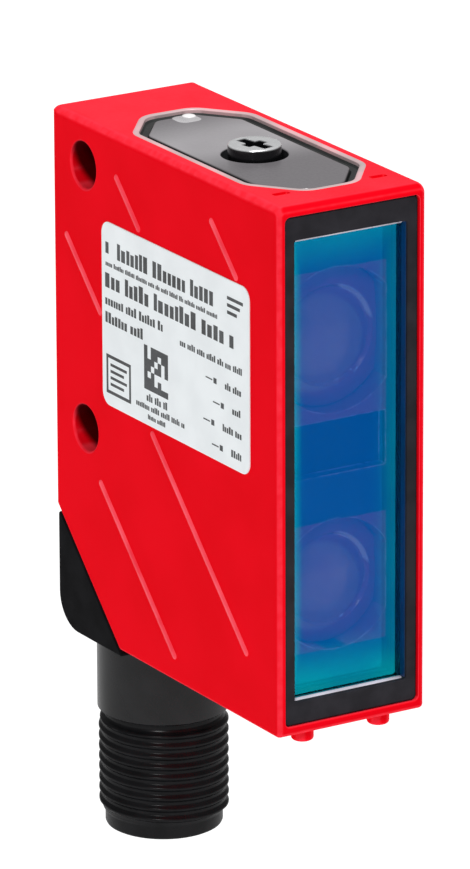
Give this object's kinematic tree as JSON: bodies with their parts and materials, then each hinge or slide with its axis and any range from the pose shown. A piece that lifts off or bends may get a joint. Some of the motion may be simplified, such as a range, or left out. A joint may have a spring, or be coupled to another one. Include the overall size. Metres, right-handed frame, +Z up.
{
  "type": "photoelectric sensor",
  "caption": "Compact rectangular photoelectric sensor with a framed lens window in front, an adjusting spindle on top and a turnable round threaded connector.",
  "frame": {"origin": "midway between the two mounting holes, in the middle of the width", "axes": "+X out of the plain side face, away from the label, along the mounting holes; -Y is the sensing direction, out of the lens window; +Z up, towards the adjusting spindle"},
  "size_m": [0.0152, 0.038, 0.068],
  "materials": {
    "red_lacquer": "smooth satin lacquer, slightly glossy",
    "label_film": "pale printed film",
    "black_frame": "satin black moulding",
    "coated_glass": "blue anti-reflection coating",
    "seal_rubber": "soft black rubber",
    "optics_black": "fine matt black",
    "lens_plastic": "clear with a violet coating",
    "led_lens": "clear red cast resin",
    "circuit_board": "green solder mask",
    "chip_black": "moulded epoxy",
    "steel": "turned steel",
    "nickel": "nickel plated brass, worn slot",
    "carriage_plastic": "glass filled moulding",
    "flex_film": "amber polyimide film",
    "grey_silicone": "pale translucent silicone",
    "smoked_cover": "smoked translucent moulding",
    "green_lamp": "diffused green resin",
    "yellow_lamp": "diffused yellow resin",
    "guide_clear": "clear acrylic",
    "black_plastic": "satin glass filled black",
    "washer_plastic": "pale slide plastic",
    "contact_gold": "gold plated",
    "wire_skin": "thin wire insulation"
  },
  "bodies": {
    "sensor": {"housing": "red_lacquer", "type_label": "label_film", "front_frame": "black_frame", "front_glass": "coated_glass", "glass_seal": "seal_rubber", "optics_carrier": "optics_black", "receiver_lens": "lens_plastic", "emitter_lens": "lens_plastic", "emitter_led": "led_lens", "emitter_board": "circuit_board", "guide_rods": "steel", "detector_flex": "flex_film", "spindle_seal": "seal_rubber", "spindle_bush": "black_frame", "operating_window": "smoked_cover", "window_seal": "grey_silicone", "display_board": "circuit_board", "green_led": "green_lamp", "yellow_led": "yellow_lamp", "light_guide": "guide_clear", "main_board": "circuit_board", "board_chips": "chip_black", "board_screws": "steel", "board_leads": "wire_skin"},
    "spindle": {"adjusting_spindle": "nickel", "spindle_clip": "steel"},
    "carriage": {"receiver_carriage": "carriage_plastic", "photodiode": "chip_black"},
    "connector": {"connector_elbow": "black_plastic", "swivel_seal": "seal_rubber", "swivel_washer": "washer_plastic", "swivel_clip": "steel", "threaded_sleeve": "black_plastic", "contact_carrier": "black_plastic", "carrier_seal": "seal_rubber", "contact_pins": "contact_gold", "connector_leads": "wire_skin"}
  },
  "joints": [
    {"name": "connector_swivel", "type": "hinge", "parent": "sensor", "child": "connector", "pos_m": [0, -0.00015, -0.02605], "axis": [0, 0.7071, -0.7071], "range_deg": [0, 180]},
    {"name": "spindle_turn", "type": "hinge", "parent": "sensor", "child": "spindle", "pos_m": [0, -0.0167, 0.0125], "axis": [0, 0, 1], "range_deg": [-1440, 1440]},
    {"name": "carriage_slide", "type": "slide", "parent": "sensor", "child": "carriage", "axis": [0, 0, 1], "range_m": [-0.002, 0.002]}
  ],
  "couplings": [
    {"joint": "spindle_turn", "follows": "carriage_slide", "rad_per_m": -12566}
  ]
}
